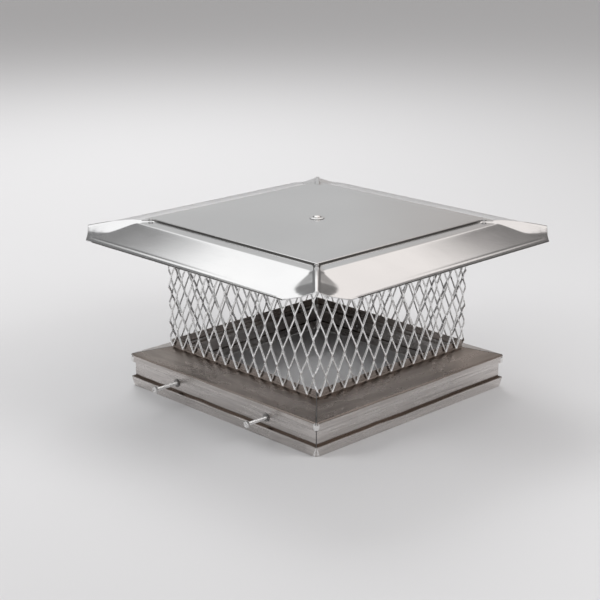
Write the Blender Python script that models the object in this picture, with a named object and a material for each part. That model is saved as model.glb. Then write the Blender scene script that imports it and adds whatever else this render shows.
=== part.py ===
"""Stainless chimney cap: a hipped sheet lid, a cage of expanded metal and a base clamped round a flue tile.

Metres, Z up. The origin is the middle of the base's bottom edge, and the sides run along X and Y.
"""

import math
from collections import namedtuple

import bmesh
import bpy
import numpy as np

# Sheet and clearances
SHEET = 0.0009
GAP = 0.0003

# Expanded-metal screen: half its middle plane's width, and its rows from the base's sloping top upwards
SCREEN_MID = 0.1378
SCREEN_THICK = 0.0024
DIAMONDS_A_SIDE = 13
HALF_ROWS = 7
ROW_RISE = 0.02393
TRIM = 0.0018
BOND_HALF_WIDE = 0.0018
BOND_HALF_TALL = 0.0046
BOND_SIDE_TALL = 0.0024
FIRST_COLUMN = 0.0054
SCREEN_IN = SCREEN_MID - SCREEN_THICK / 2
SCREEN_OUT = SCREEN_MID + SCREEN_THICK / 2

# Base rails: half the width over the walls, how far lip and skirt stand out, and heights from the bottom up
WALL_HALF = 0.1713
LIP_OUT = 0.0040
SKIRT_OUT = 0.0041
SKIRT_LEAN = 0.0006
SKIRT_TALL = 0.0121
SKIRT_SLANT = 0.0013
WALL_TALL = 0.0189
BASE_LIP_TALL = 0.0111
SLOPE_TALL = 0.0106
UPSTAND_TALL = 0.0100

# The rails' outside face from the bottom up, as (outwards, height)
SKIRT_FOOT = (WALL_HALF + SKIRT_OUT - SKIRT_LEAN, 0.0)
SKIRT_TOP = (WALL_HALF + SKIRT_OUT, SKIRT_TALL)
WALL_FOOT = (WALL_HALF, SKIRT_TALL + SKIRT_SLANT)
WALL_TOP = (WALL_HALF, WALL_FOOT[1] + WALL_TALL)
LIP_FOOT = (WALL_HALF + LIP_OUT, WALL_TOP[1])
LIP_TOP = (WALL_HALF + LIP_OUT, LIP_FOOT[1] + BASE_LIP_TALL)
UPSTAND_FOOT = (SCREEN_IN - GAP, LIP_TOP[1] + SLOPE_TALL)
UPSTAND_TOP = (SCREEN_IN - GAP, UPSTAND_FOOT[1] + UPSTAND_TALL)
RAIL_PATH = (UPSTAND_TOP, UPSTAND_FOOT, LIP_TOP, LIP_FOOT, WALL_TOP, WALL_FOOT, SKIRT_TOP, SKIRT_FOOT)

# Radius and number of facets of each fold along that path
RAIL_FOLDS = ((0.0016, 1), (0.0018, 2), (0.0015, 1), (0.0012, 1), (0.0012, 1), (0.0014, 2))

# How far the rails' ends are rounded: the lip's, the skirt's at its foot, and the rest
CORNER_R = 0.0009
LIP_CORNER_R = 0.0015
SKIRT_CORNER_R = 0.0060

# Lid: each band's width outwards from the screen, and its heights from the screen's top upwards
PANEL_PAST_SCREEN = 0.0097
LEDGE_WIDE = 0.0209
FLANGE_WIDE = 0.0661
LID_OVER_SCREEN = 0.0078
PANEL_CROWN = 0.0021
RISER_TALL = 0.0026
FLANGE_DROP = 0.0143
PANEL_FOLD = 0.0008
RISER_LEAN = 0.0006
BEND_INSIDE = 0.0030
BEND_OUTSIDE = 0.0025
BEND_SINK = 0.0002
HEM_FOLD_IN = 0.0006
HEM_FOLD_DOWN = 0.0007
HEM_THICK = 0.0022
HEM_WIDE = 0.0072

# How much of each corner is cut off, along the diagonal
CLIP_CUT = 0.0383

# The raised seam on each hip of the lid: its height at the tip, and its share of that nearer the panel
SEAM_RISE = 0.0050
SEAM_SHARE_AT_LEDGE = 0.20
SEAM_SHARE_AT_BEND = 0.30

# Half sizes outwards from the middle, and heights, that follow
PANEL_HALF = SCREEN_OUT + PANEL_PAST_SCREEN
LEDGE_HALF = PANEL_HALF + LEDGE_WIDE
HEM_HALF = LEDGE_HALF + FLANGE_WIDE
CLIP_REACH = HEM_HALF * math.sqrt(2) - CLIP_CUT
SCREEN_FOOT_Z = UPSTAND_FOOT[1] + TRIM
SCREEN_TOP_Z = UPSTAND_FOOT[1] + HALF_ROWS * ROW_RISE - TRIM
PANEL_Z = SCREEN_TOP_Z + LID_OVER_SCREEN
PANEL_MIDDLE_Z = PANEL_Z + PANEL_CROWN
LEDGE_Z = PANEL_Z - RISER_TALL

# Clamp screws and their nuts, and how far each screw's head stands out from its wall
CLAMP_AT = 0.0848
CLAMP_UP = 0.0108
CLAMP_Z = WALL_FOOT[1] + CLAMP_UP
SCREW_R = 0.0024
SCREW_TIP_R = 0.0017
SCREW_TIP = 0.0008
SCREW_LENGTH = 0.0381
SCREW_HEAD = 0.0032
SCREW_FLATS = 0.0082
SCREW_CROWN_R = 0.0035
SCREW_CROWN = 0.0004
Clamp = namedtuple("Clamp", "name along side out")
CLAMPS = (
    Clamp("front_left", -CLAMP_AT, -1, 0.0380),
    Clamp("front_right", CLAMP_AT, -1, 0.0340),
    Clamp("back_left", -CLAMP_AT, 1, 0.0360),
    Clamp("back_right", CLAMP_AT, 1, 0.0360),
)
NUT_BARREL_R = 0.0036
NUT_COLLAR_R = 0.0052
NUT_COLLAR = 0.0010
NUT_INSIDE = 0.0045
NUT_BORE_R = SCREW_R + GAP
NUT_HOLE_R = NUT_BARREL_R + GAP

# Cross straps and the bolt in the middle of the lid
STRAP_WIDE = 0.0200
STRAP_THICK = 0.0012
STRAP_LEG = 0.0298
STRAP_SLACK = 0.0007
STRAP_FOLD_R = 0.0030
STRAP_CROWN_R = 0.5000
WASHER_R = 0.0098
WASHER_EDGE = 0.0006
WASHER_MIDDLE = 0.0008
BOLT_R = 0.0024
BOLT_PAST_NUT = 0.0031
BOLT_HOLE_R = BOLT_R + GAP
DOME_R = 0.0057
DOME = 0.0022
LID_NUT = 0.0038
LID_NUT_FLATS = 0.0080

# Facets round a turned piece, and how far a cutter reaches past each side of its sheet
SIDES = 12
WASHER_SIDES = 16
CUT_REACH = 0.0065

# Colour and roughness
SHEET_STEEL = ((0.62, 0.61, 0.60), 0.30)
BRIGHT_STEEL = ((0.72, 0.72, 0.71), 0.24)
DARK_STEEL = ((0.30, 0.30, 0.30), 0.42)

SHARP_EDGE = math.radians(40)


def clear_scene():
    for obj in list(bpy.data.objects):
        bpy.data.objects.remove(obj, do_unlink=True)


def new_material(name, look):
    colour, roughness = look
    material = bpy.data.materials.new(name)
    material.use_nodes = True
    shader = material.node_tree.nodes["Principled BSDF"]
    shader.inputs["Base Color"].default_value = (*colour, 1.0)
    shader.inputs["Metallic"].default_value = 1.0
    shader.inputs["Roughness"].default_value = roughness
    material.diffuse_color = (*colour, 1.0)
    return material


def add_object(name, points, faces, look=SHEET_STEEL):
    """One closed piece from points and faces, with its normals made to face out."""
    mesh = bpy.data.meshes.new(name)
    mesh.from_pydata([tuple(map(float, p)) for p in points], [], faces)
    shape = bmesh.new()
    shape.from_mesh(mesh)
    bmesh.ops.recalc_face_normals(shape, faces=shape.faces)
    shape.to_mesh(mesh)
    shape.free()
    mesh.materials.append(new_material(name, look))
    obj = bpy.data.objects.new(name, mesh)
    bpy.context.scene.collection.objects.link(obj)
    return obj


def add_turned(name, outline, look, sides=SIDES, ring=None):
    """A piece turned about its own Z, shaded smooth round its axis."""
    obj = add_object(name, *lathe(outline, sides, ring), look)
    obj.data.shade_smooth()
    obj.data.set_sharp_from_angle(angle=SHARP_EDGE)
    return obj


def add_cutter(name, radius):
    """A round cutter about its own Z, half on each side of its origin."""
    outline = [(0, -CUT_REACH), (radius, -CUT_REACH), (radius, CUT_REACH), (0, CUT_REACH)]
    obj = add_turned(name, outline, SHEET_STEEL)
    obj.hide_render = True
    obj.display_type = "WIRE"
    return obj


def cut(target, cutter):
    modifier = target.modifiers.new("cut_" + cutter.name, "BOOLEAN")
    modifier.operation = "DIFFERENCE"
    modifier.solver = "EXACT"
    modifier.object = cutter


def band_faces(rows, across, closed_rows, closed_across):
    """Quads between neighbouring rows of points, each row with as many points."""
    faces = []
    for i in range(rows if closed_rows else rows - 1):
        for j in range(across if closed_across else across - 1):
            i2, j2 = (i + 1) % rows, (j + 1) % across
            faces.append((i * across + j, i * across + j2, i2 * across + j2, i2 * across + j))
    return faces


def lathe(outline, sides, ring=None):
    """Points and faces of a shape turned about Z; an outline point at radius 0 closes an end."""
    points, faces = [], []
    loops = []
    for radius, z in outline:
        if radius == 0:
            loops.append([len(points)] * sides)
            points.append((0.0, 0.0, z))
            continue
        loops.append([len(points) + k for k in range(sides)])
        for k in range(sides):
            turn = 2 * math.pi * k / sides
            reach = radius * (ring(turn, radius) if ring else 1.0)
            points.append((reach * math.cos(turn), reach * math.sin(turn), z))
    last = len(loops) if outline[0][0] else len(loops) - 1
    for a in range(last):
        low, high = loops[a], loops[(a + 1) % len(loops)]
        for k in range(sides):
            corner = [low[k], low[(k + 1) % sides], high[(k + 1) % sides], high[k]]
            whole = list(dict.fromkeys(corner))
            if len(whole) > 2:
                faces.append(tuple(whole))
    return np.array(points), faces


def stand_on_wall(obj, clamp):
    """Puts a turned piece on the outer face of a clamp's wall, its own +Z pointing outwards."""
    obj.location = (clamp.along, clamp.side * WALL_TOP[0], CLAMP_Z)
    obj.rotation_euler = (-clamp.side * math.pi / 2, 0.0, 0.0)


def turned_side(u, n, z, side):
    """A point u along a side and n outwards, on side 0 (-Y), 1 (+X), 2 (+Y) or 3 (-X)."""
    x, y = u, -n
    for _ in range(side):
        x, y = -y, x
    return (x, y, z)


def fold_round(path, folds):
    """The path with each inner corner turned into a short arc of that radius and number of facets."""
    out = [np.array(path[0])]
    for before, at, after, (radius, count) in zip(path, path[1:], path[2:], folds):
        before, at, after = np.array(before), np.array(at), np.array(after)
        a = (before - at) / np.linalg.norm(before - at)
        b = (after - at) / np.linalg.norm(after - at)
        half = math.acos(float(np.clip(a @ b, -1, 1))) / 2
        reach = radius / math.tan(half)
        middle = at + (a + b) / np.linalg.norm(a + b) * radius / math.sin(half)
        start, end = at + a * reach, at + b * reach
        for k in range(count + 1):
            p = start + (end - start) * k / count
            out.append(middle + (p - middle) / np.linalg.norm(p - middle) * radius)
    out.append(np.array(path[-1]))
    return out


def offset_path(path, thick):
    """The path moved sideways by the sheet's thickness, to its right-hand side as it is followed."""
    moved = []
    for k, p in enumerate(path):
        dirs = []
        if k > 0:
            dirs.append((p - path[k - 1]) / np.linalg.norm(p - path[k - 1]))
        if k < len(path) - 1:
            dirs.append((path[k + 1] - p) / np.linalg.norm(path[k + 1] - p))
        sides = [np.array([d[1], -d[0]]) for d in dirs]
        mean = sum(sides) / len(sides)
        moved.append(p + mean * thick / float(mean @ mean))
    return moved


# Lid

# From a hip to the middle of a side: how far from the hip each column of points stands on the ledge, where
# it meets the clipped corner (None where it meets the hem), how far the corner bulges there, how much the
# sheet rises at the edge, and how thick the edge is
LidColumn = namedtuple("LidColumn", "away lateral bulge rise thick")
LID_COLUMNS = (
    LidColumn(0.0000, 0.0000, 0.0025, SEAM_RISE, 0.0012),
    LidColumn(0.0026, 0.0032, 0.0022, 0.0038, 0.0012),
    LidColumn(0.0090, 0.0095, 0.0016, 0.0024, 0.0012),
    LidColumn(0.0150, 0.0160, 0.0010, 0.0006, 0.0013),
    LidColumn(0.0210, 0.0225, 0.0005, -0.0003, 0.0015),
    LidColumn(0.0300, None, 0.0000, 0.0000, HEM_THICK),
)


def hem_point(column, inset):
    """Where a column of points meets the lid's outer edge, (along, outwards), that far inside the edge."""
    half = HEM_HALF - inset
    if column is None:
        return 0.0, half
    reach = CLIP_REACH - inset + column.bulge
    if column.lateral is None:
        return reach * math.sqrt(2) - half, half
    return (reach - column.lateral) / math.sqrt(2), (reach + column.lateral) / math.sqrt(2)


def flange_z(n):
    return LEDGE_Z - BEND_SINK - (n - LEDGE_HALF) * FLANGE_DROP / (HEM_HALF - LEDGE_HALF)


def lid_profile(column):
    """Points of one column over the lid, out along the top and back along the underside, as (u, n, z)."""
    rise = column.rise if column else 0.0
    thick = column.thick if column else HEM_THICK
    ledge_z = LEDGE_Z + rise * SEAM_SHARE_AT_LEDGE

    def square(half, z):
        """On the square of that half size; the column comes closer to the hip towards the middle."""
        return (half - column.away * half / LEDGE_HALF if column else 0.0, half, z)

    def flange(share, down):
        """That share of the way from the soft bend to the edge."""
        start_u, start_n, _ = square(LEDGE_HALF + BEND_OUTSIDE, 0.0)
        end_u, end_n = hem_point(column, HEM_WIDE)
        u = start_u + (end_u - start_u) * share
        n = start_n + (end_n - start_n) * share
        lifted = rise * (SEAM_SHARE_AT_BEND + (1 - SEAM_SHARE_AT_BEND) * share)
        return (u, n, flange_z(n) + lifted - down)

    edge_u, edge_n = hem_point(column, HEM_FOLD_IN)
    out_u, out_n = hem_point(column, 0.0)
    in_u, in_n = hem_point(column, HEM_WIDE)
    edge_z = flange_z(edge_n) + rise
    return [
        square(PANEL_HALF - PANEL_FOLD, PANEL_Z),
        square(PANEL_HALF, PANEL_Z - PANEL_FOLD),
        square(PANEL_HALF + RISER_LEAN, ledge_z),
        square(LEDGE_HALF - BEND_INSIDE, ledge_z),
        flange(0.0, 0.0),
        flange(0.5, 0.0),
        (edge_u, edge_n, edge_z),
        (out_u, out_n, edge_z - HEM_FOLD_DOWN),
        (out_u, out_n, flange_z(out_n) + rise - thick),
        (in_u, in_n, flange_z(in_n) + rise - thick),
        (in_u, in_n, flange_z(in_n) + rise - SHEET),
        flange(0.5, SHEET),
        flange(0.0, SHEET),
        square(LEDGE_HALF - BEND_INSIDE, ledge_z - SHEET),
        square(PANEL_HALF + RISER_LEAN - SHEET, ledge_z - SHEET),
        square(PANEL_HALF - PANEL_FOLD - RISER_LEAN, PANEL_Z - SHEET),
    ]


def build_lid():
    """One folded sheet: raised panel, ledge, four hipped flanges, flat hems and clipped corners."""
    half_side = list(LID_COLUMNS)
    order = half_side + [None] + half_side[:0:-1]
    columns = []
    for side in range(4):
        for place, column in enumerate(order):
            mirrored = -1 if place < len(half_side) else 1
            column_points = []
            for u, n, z in lid_profile(column):
                column_points.append(turned_side(mirrored * u, n, z, side))
            # The bolt hole's rim takes one point for each column, so that the panel is one band
            turn = 2 * math.pi * (place / len(order) + side) / 4 - 0.75 * math.pi
            rim = (BOLT_HOLE_R * math.cos(turn), BOLT_HOLE_R * math.sin(turn))
            column_points.append((*rim, PANEL_MIDDLE_Z - SHEET))
            column_points.append((*rim, PANEL_MIDDLE_Z))
            columns.append(column_points)
    points = [p for column in columns for p in column]
    faces = band_faces(len(columns), len(columns[0]), True, True)
    return add_object("lid", points, faces)


# Base rails

def rail_profile():
    """The rail's outside and inside faces as paths of (outwards, height)."""
    outer = fold_round(RAIL_PATH, RAIL_FOLDS)
    return outer, offset_path(outer, SHEET)


def corner_radius(n, z):
    """How far the rail's corner is rounded at a point of the section: most at the skirt's foot."""
    if z < SKIRT_TOP[1]:
        return CORNER_R + (SKIRT_CORNER_R - CORNER_R) * (1 - z / SKIRT_TOP[1])
    if z >= LIP_FOOT[1] and n > (WALL_TOP[0] + LIP_FOOT[0]) / 2:
        return LIP_CORNER_R
    return CORNER_R


def corner_stations(n, z):
    """(along, outwards) of a section point from the mitre to the straight, on the side's right-hand end."""
    radius = corner_radius(n, z)
    stations = []
    for turn in (math.pi / 4, math.pi / 8, 0.0):
        stations.append((n - radius + radius * math.sin(turn), n - radius + radius * math.cos(turn)))
    return stations


def build_rail(name, side, cutters):
    outer, inner = rail_profile()
    outline = list(outer) + list(reversed(inner))
    mitre_gap = GAP / 2 * math.sqrt(2)
    columns = []
    for end in (-1, 1):
        stations = (0, 1, 2) if end < 0 else (2, 1, 0)
        for station in stations:
            column = []
            for n, z in outline:
                u, out = corner_stations(n, z)[station]
                if station == 0:
                    u -= mitre_gap
                column.append(turned_side(end * u, out, z, side))
            columns.append(column)
    points = [p for column in columns for p in column]
    across = len(outline)
    faces = band_faces(len(columns), across, False, True)
    faces.append(tuple(range(across)))
    faces.append(tuple(range((len(columns) - 1) * across, len(columns) * across)))
    rail = add_object(name, points, faces)
    for cutter in cutters:
        cut(rail, cutter)
    return rail


# Screen

def around(s, n):
    """The plan point s round the folded strip from the front-right corner, n outwards."""
    side_length = 2 * SCREEN_MID
    side = int(math.floor(s / side_length + 1e-9))
    u = s - side * side_length - SCREEN_MID
    # A point on a fold stands on the corner itself
    if abs(u + SCREEN_MID) < 1e-7:
        u = -n
    x, y, _ = turned_side(u, n, 0.0, (side + 1) % 4)
    return x, y


def build_screen():
    """One strip of expanded metal folded into a square tube: bonds joined by slanting strands."""
    side_length = 2 * SCREEN_MID
    step = side_length / DIAMONDS_A_SIDE / 2
    columns = DIAMONDS_A_SIDE * 2 * 4
    total = 4 * side_length
    flat = []
    index = {}

    def vertex(key, s, z):
        if key not in index:
            index[key] = len(flat)
            flat.append((s, z))
        return index[key]

    def bond(i, j):
        """The bond's points: its two tips and four side points, fewer where the strip is trimmed."""
        s = FIRST_COLUMN + i * step
        z = UPSTAND_FOOT[1] + j * ROW_RISE
        at = (i % columns, j)
        names = {}
        low = SCREEN_FOOT_Z if j == 0 else z + BOND_SIDE_TALL
        high = SCREEN_TOP_Z if j == HALF_ROWS else z - BOND_SIDE_TALL
        if j < HALF_ROWS:
            names["up"] = vertex((at, "up"), s, z + BOND_HALF_TALL)
            names["up_left"] = vertex((at, "up_left"), s - BOND_HALF_WIDE, low)
            names["up_right"] = vertex((at, "up_right"), s + BOND_HALF_WIDE, low)
        if j > 0:
            names["down"] = vertex((at, "down"), s, z - BOND_HALF_TALL)
            names["down_left"] = vertex((at, "down_left"), s - BOND_HALF_WIDE, high)
            names["down_right"] = vertex((at, "down_right"), s + BOND_HALF_WIDE, high)
        return names

    faces = []

    def strand(low_a, low_b, high_a, high_b, crosses):
        """A strand's face, a on its left; the one that crosses a fold gets two points on the fold."""
        if crosses is None:
            faces.append((low_a, low_b, high_b, high_a))
            return
        on_fold = []
        for low, high in ((low_a, high_a), (low_b, high_b)):
            s0, z0 = flat[low]
            s1, z1 = flat[high]
            # Points where the strip's ends meet may be stored a whole turn away
            s0 += round((crosses - s0) / total) * total
            s1 += round((crosses - s1) / total) * total
            share = (crosses - s0) / (s1 - s0)
            on_fold.append(vertex(("fold", low, high), crosses, z0 + (z1 - z0) * share))
        faces.append((low_a, low_b, on_fold[1], on_fold[0]))
        faces.append((on_fold[0], on_fold[1], high_b, high_a))

    for i in range(columns):
        for j in range(i % 2, HALF_ROWS + 1, 2):
            here = bond(i, j)
            ring = ("up", "up_left", "down_left", "down", "down_right", "up_right")
            faces.append(tuple(here[k] for k in ring if k in here))
            if j == HALF_ROWS:
                continue
            s = FIRST_COLUMN + i * step
            fold_right = math.ceil(s / side_length - 1e-9) * side_length
            fold_left = math.floor(s / side_length + 1e-9) * side_length
            right = bond(i + 1, j + 1)
            crosses = fold_right if s + step > fold_right else None
            strand(here["up"], here["up_right"], right["down_left"], right["down"], crosses)
            left = bond(i - 1, j + 1)
            crosses = fold_left if s - step < fold_left else None
            strand(here["up_left"], here["up"], left["down"], left["down_right"], crosses)

    count = len(flat)
    points = [(*around(s % total, SCREEN_OUT), z) for s, z in flat]
    points += [(*around(s % total, SCREEN_IN), z) for s, z in flat]
    both = list(faces) + [tuple(count + k for k in reversed(face)) for face in faces]
    used = {}
    for face in faces:
        for a, b in zip(face, face[1:] + face[:1]):
            used[(a, b)] = used.get((a, b), 0) + 1
    for a, b in list(used):
        if (b, a) not in used:
            both.append((b, a, count + a, count + b))
    return add_object("mesh_screen", points, both, BRIGHT_STEEL)


# Hardware

def hexagon(turn, radius):
    """For lathe: makes a ring wider than a shaft and its hole a hexagon, its radius half across flats."""
    if radius <= max(BOLT_HOLE_R, NUT_BORE_R):
        return 1.0
    sector = (turn + math.pi / 6) % (math.pi / 3) - math.pi / 6
    return 1 / math.cos(sector)


def build_screw(clamp, nut):
    """A hex-headed clamp screw through its nut, its origin under its head."""
    outline = [
        (0, -SCREW_LENGTH), (SCREW_TIP_R, -SCREW_LENGTH), (SCREW_R, SCREW_TIP - SCREW_LENGTH), (SCREW_R, 0),
        (SCREW_FLATS / 2, 0), (SCREW_FLATS / 2, SCREW_HEAD - SCREW_CROWN), (SCREW_CROWN_R, SCREW_HEAD),
        (0, SCREW_HEAD),
    ]
    screw = add_turned("clamp_screw_" + clamp.name, outline, BRIGHT_STEEL, SIDES, hexagon)
    screw.parent = nut
    screw.location = (0.0, 0.0, clamp.out - SCREW_HEAD)


def build_clamp_nut(clamp):
    """A sleeve nut pressed into the wall, its collar outside and its origin on the wall's outer face."""
    inside = -SHEET - NUT_INSIDE
    outline = [
        (NUT_BORE_R, inside), (NUT_BARREL_R, inside), (NUT_BARREL_R, GAP), (NUT_COLLAR_R, GAP),
        (NUT_COLLAR_R, GAP + NUT_COLLAR), (NUT_BORE_R, GAP + NUT_COLLAR),
    ]
    nut = add_turned("clamp_nut_" + clamp.name, outline, DARK_STEEL)
    stand_on_wall(nut, clamp)
    return nut


def build_strap(name, along_x, middle_top, bolt_way):
    """A cambered strap under the panel, its ends turned down inside the screen."""
    half = SCREEN_IN - GAP
    end_top = middle_top - PANEL_CROWN * half / PANEL_HALF - STRAP_SLACK
    foot = end_top - STRAP_LEG
    path = [(-half, foot), (-half, end_top), (0.0, middle_top), (half, end_top), (half, foot)]
    outer = fold_round(path, ((STRAP_FOLD_R, 2), (STRAP_CROWN_R, 1), (STRAP_FOLD_R, 2)))
    inner = offset_path(outer, STRAP_THICK)
    outline = list(outer) + list(reversed(inner))
    points = []
    for across in (-STRAP_WIDE / 2, STRAP_WIDE / 2):
        for reach, z in outline:
            points.append((reach, across, z) if along_x else (across, reach, z))
    count = len(outline)
    faces = band_faces(2, count, False, True)
    faces += [tuple(range(count)), tuple(range(count, 2 * count))]
    strap = add_object(name, points, faces)
    cut(strap, bolt_way)


def build_lid_bolt(under_straps):
    """The domed bolt, its washer over the panel and its nut under the straps."""
    washer = add_turned("lid_washer", [
        (BOLT_HOLE_R, 0), (WASHER_R, 0), (WASHER_R, WASHER_EDGE), (BOLT_HOLE_R, WASHER_MIDDLE),
    ], DARK_STEEL, WASHER_SIDES)
    washer.location.z = PANEL_MIDDLE_Z + GAP

    # The bolt's origin is under its head, on the washer
    head_z = PANEL_MIDDLE_Z + GAP + WASHER_MIDDLE + GAP
    tip = under_straps - GAP - LID_NUT - BOLT_PAST_NUT - head_z
    dome = []
    for degrees in (0, 30, 60):
        turn = math.radians(degrees)
        dome.append((DOME_R * math.cos(turn), DOME * math.sin(turn)))
    bolt = add_turned("lid_bolt", [
        (0, tip), (BOLT_R, tip), (BOLT_R, 0), *dome, (0, DOME),
    ], BRIGHT_STEEL)
    bolt.location.z = head_z

    nut = add_turned("lid_nut", [
        (BOLT_HOLE_R, -LID_NUT), (LID_NUT_FLATS / 2, -LID_NUT), (LID_NUT_FLATS / 2, 0), (BOLT_HOLE_R, 0),
    ], SHEET_STEEL, SIDES, hexagon)
    nut.location.z = under_straps - GAP


def main():
    clear_scene()
    build_lid()
    build_screen()

    bolt_way = add_cutter("bolt_way", BOLT_HOLE_R)
    bolt_way.location.z = PANEL_MIDDLE_Z
    upper_top = PANEL_MIDDLE_Z - SHEET - GAP
    lower_top = upper_top - STRAP_THICK - GAP
    build_strap("cross_strap_upper", False, upper_top, bolt_way)
    build_strap("cross_strap_lower", True, lower_top, bolt_way)
    build_lid_bolt(lower_top - STRAP_THICK)

    ways = {-1: [], 1: []}
    for clamp in CLAMPS:
        way = add_cutter("way_" + clamp.name, NUT_HOLE_R)
        stand_on_wall(way, clamp)
        ways[clamp.side].append(way)
        build_screw(clamp, build_clamp_nut(clamp))

    build_rail("base_rail_front", 0, ways[-1])
    build_rail("base_rail_right", 1, [])
    build_rail("base_rail_back", 2, ways[1])
    build_rail("base_rail_left", 3, [])


main()
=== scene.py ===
"""Looks of the stainless chimney cap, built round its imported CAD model.

Metres, Z up, in the CAD model's frame. The sides run along X and Y: side 0 faces -Y, and 1, 2 and 3 follow
counter-clockwise. A point of a side is (u along it, n outwards, z). The camera looks at the corner between
sides 0 and 1.
"""

import math

import bmesh
import bpy
import numpy as np
from mathutils import Matrix, Vector


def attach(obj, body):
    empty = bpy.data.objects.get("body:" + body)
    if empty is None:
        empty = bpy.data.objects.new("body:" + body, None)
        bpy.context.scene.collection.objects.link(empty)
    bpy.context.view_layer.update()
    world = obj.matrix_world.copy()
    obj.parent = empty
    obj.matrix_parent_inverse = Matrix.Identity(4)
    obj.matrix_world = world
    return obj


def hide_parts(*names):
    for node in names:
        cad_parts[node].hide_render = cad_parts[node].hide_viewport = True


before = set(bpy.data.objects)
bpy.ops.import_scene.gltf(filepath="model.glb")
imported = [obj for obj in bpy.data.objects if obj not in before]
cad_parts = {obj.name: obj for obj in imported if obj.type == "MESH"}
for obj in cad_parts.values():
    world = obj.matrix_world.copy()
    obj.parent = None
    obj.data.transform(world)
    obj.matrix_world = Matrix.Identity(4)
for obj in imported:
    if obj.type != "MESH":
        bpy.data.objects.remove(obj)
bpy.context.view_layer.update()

# The CAD model's own sizes, repeated here because the part's source can't be read
SHEET = 0.0009
GAP = 0.0003

# Expanded-metal screen: half its middle plane's width, its heights, its diamonds and the bonds between them
SCREEN_MID = 0.1378
SCREEN_FOOT_Z = 0.0558
SCREEN_ROWS_Z = 0.0540
DIAMONDS_A_SIDE = 13
HALF_ROWS = 7
ROW_RISE = 0.02393
TRIM = 0.0018
SCREEN_TOP_Z = SCREEN_ROWS_Z + HALF_ROWS * ROW_RISE - TRIM
FIRST_COLUMN = 0.0054
BOND_HALF_WIDE = 0.0018
BOND_HALF_TALL = 0.0046
BOND_SIDE_TALL = 0.0024

# Lid: half sizes outwards from the middle, heights, and its folds
PANEL_HALF = 0.1487
LEDGE_HALF = 0.1696
HEM_HALF = 0.2357
CLIP_CUT = 0.0383
CLIP_REACH = HEM_HALF * math.sqrt(2) - CLIP_CUT
PANEL_Z = 0.22751
PANEL_CROWN = 0.0021
PANEL_MIDDLE_Z = PANEL_Z + PANEL_CROWN
LEDGE_Z = 0.22491
FLANGE_DROP = 0.0143
RISER_LEAN = 0.0006
BEND_OUTSIDE = 0.0025
BEND_SINK = 0.0002
HEM_WIDE = 0.0072
HEM_THICK = 0.0022

# Clamp screws, as (name, along the wall, its side, how far the head stands out), and their nuts
CLAMP_AT = 0.0848
CLAMP_Z = 0.0242
WALL_HALF = 0.1713
CLAMPS = (
    ("front_left", -CLAMP_AT, -1, 0.0380),
    ("front_right", CLAMP_AT, -1, 0.0340),
    ("back_left", -CLAMP_AT, 1, 0.0360),
    ("back_right", CLAMP_AT, 1, 0.0360),
)
SCREW_R = 0.0024
SCREW_LENGTH = 0.0381
SCREW_HEAD = 0.0032
SCREW_FLATS = 0.0082
NUT_INSIDE = 0.0045

# The bolt in the middle of the lid, and what it holds
BOLT_R = 0.0024
BOLT_HOLE_R = 0.0027
BOLT_PAST_NUT = 0.0031
WASHER_R = 0.0098
WASHER_MIDDLE = 0.0008
DOME_R = 0.0057
DOME = 0.0022
LID_NUT = 0.0038
LID_NUT_FLATS = 0.0080
STRAP_THICK = 0.0012
STRAPS_FOOT_Z = PANEL_MIDDLE_Z - SHEET - 2 * GAP - 2 * STRAP_THICK

SIDES = range(4)
# Facets round a thread, a small round piece, and one with a large or a six-sided head
THREAD_SIDES = 24
ROUND_SIDES = 32
HEAD_SIDES = 48


# Meshes

def turned_side(u, n, z, side):
    """The point (u, n, z) of a side in the model's own coordinates."""
    x, y = u, -n
    for _ in range(side):
        x, y = -y, x
    return (x, y, z)


def mesh_object(name, points, faces, material, replaced=(), sharp=40, painted=()):
    """One piece of the object, shaded smooth up to that angle in degrees, riding on the body.

    Painted, a list of (material, faces), gives those faces another material.
    """
    mesh = bpy.data.meshes.new(name)
    mesh.from_pydata([tuple(map(float, p)) for p in points], [], faces)
    shape = bmesh.new()
    shape.from_mesh(mesh)
    bmesh.ops.recalc_face_normals(shape, faces=shape.faces)
    shape.to_mesh(mesh)
    shape.free()
    mesh.shade_smooth()
    mesh.set_sharp_from_angle(angle=math.radians(sharp))
    mesh.materials.append(material)
    for index, (other, painted_faces) in enumerate(painted, 1):
        mesh.materials.append(other)
        for k in painted_faces:
            mesh.polygons[k].material_index = index
    obj = bpy.data.objects.new(name, mesh)
    bpy.context.scene.collection.objects.link(obj)
    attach(obj, "root")
    if replaced:
        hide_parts(*replaced)


def band_faces(rows, across, closed_rows, closed_across):
    """Quads between neighbouring rows of points, each row with as many points."""
    faces = []
    for i in range(rows if closed_rows else rows - 1):
        for j in range(across if closed_across else across - 1):
            i2, j2 = (i + 1) % rows, (j + 1) % across
            faces.append((i * across + j, i * across + j2, i2 * across + j2, i2 * across + j))
    return faces


def joined(rings):
    """All points of a list of rings, one after the other."""
    return [p for ring in rings for p in ring]


def moved_faces(faces, first):
    """The faces with their points counted from that one."""
    return [tuple(first + k for k in face) for face in faces]


def turned(outline, sides, reach=None):
    """Points and faces of an outline of (radius, z) turned about Z; reach(turn, row) scales a radius."""
    points, faces, loops = [], [], []
    for row, (radius, z) in enumerate(outline):
        if radius == 0:
            loops.append([len(points)] * sides)
            points.append((0.0, 0.0, z))
            continue
        loops.append([len(points) + k for k in range(sides)])
        for k in range(sides):
            turn = 2 * math.pi * k / sides
            r = radius * (reach(turn, row) if reach else 1.0)
            points.append((r * math.cos(turn), r * math.sin(turn), z))
    for low, high in zip(loops, loops[1:]):
        for k in range(sides):
            corners = [low[k], low[(k + 1) % sides], high[(k + 1) % sides], high[k]]
            whole = list(dict.fromkeys(corners))
            if len(whole) > 2:
                faces.append(tuple(whole))
    return points, faces


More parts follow.
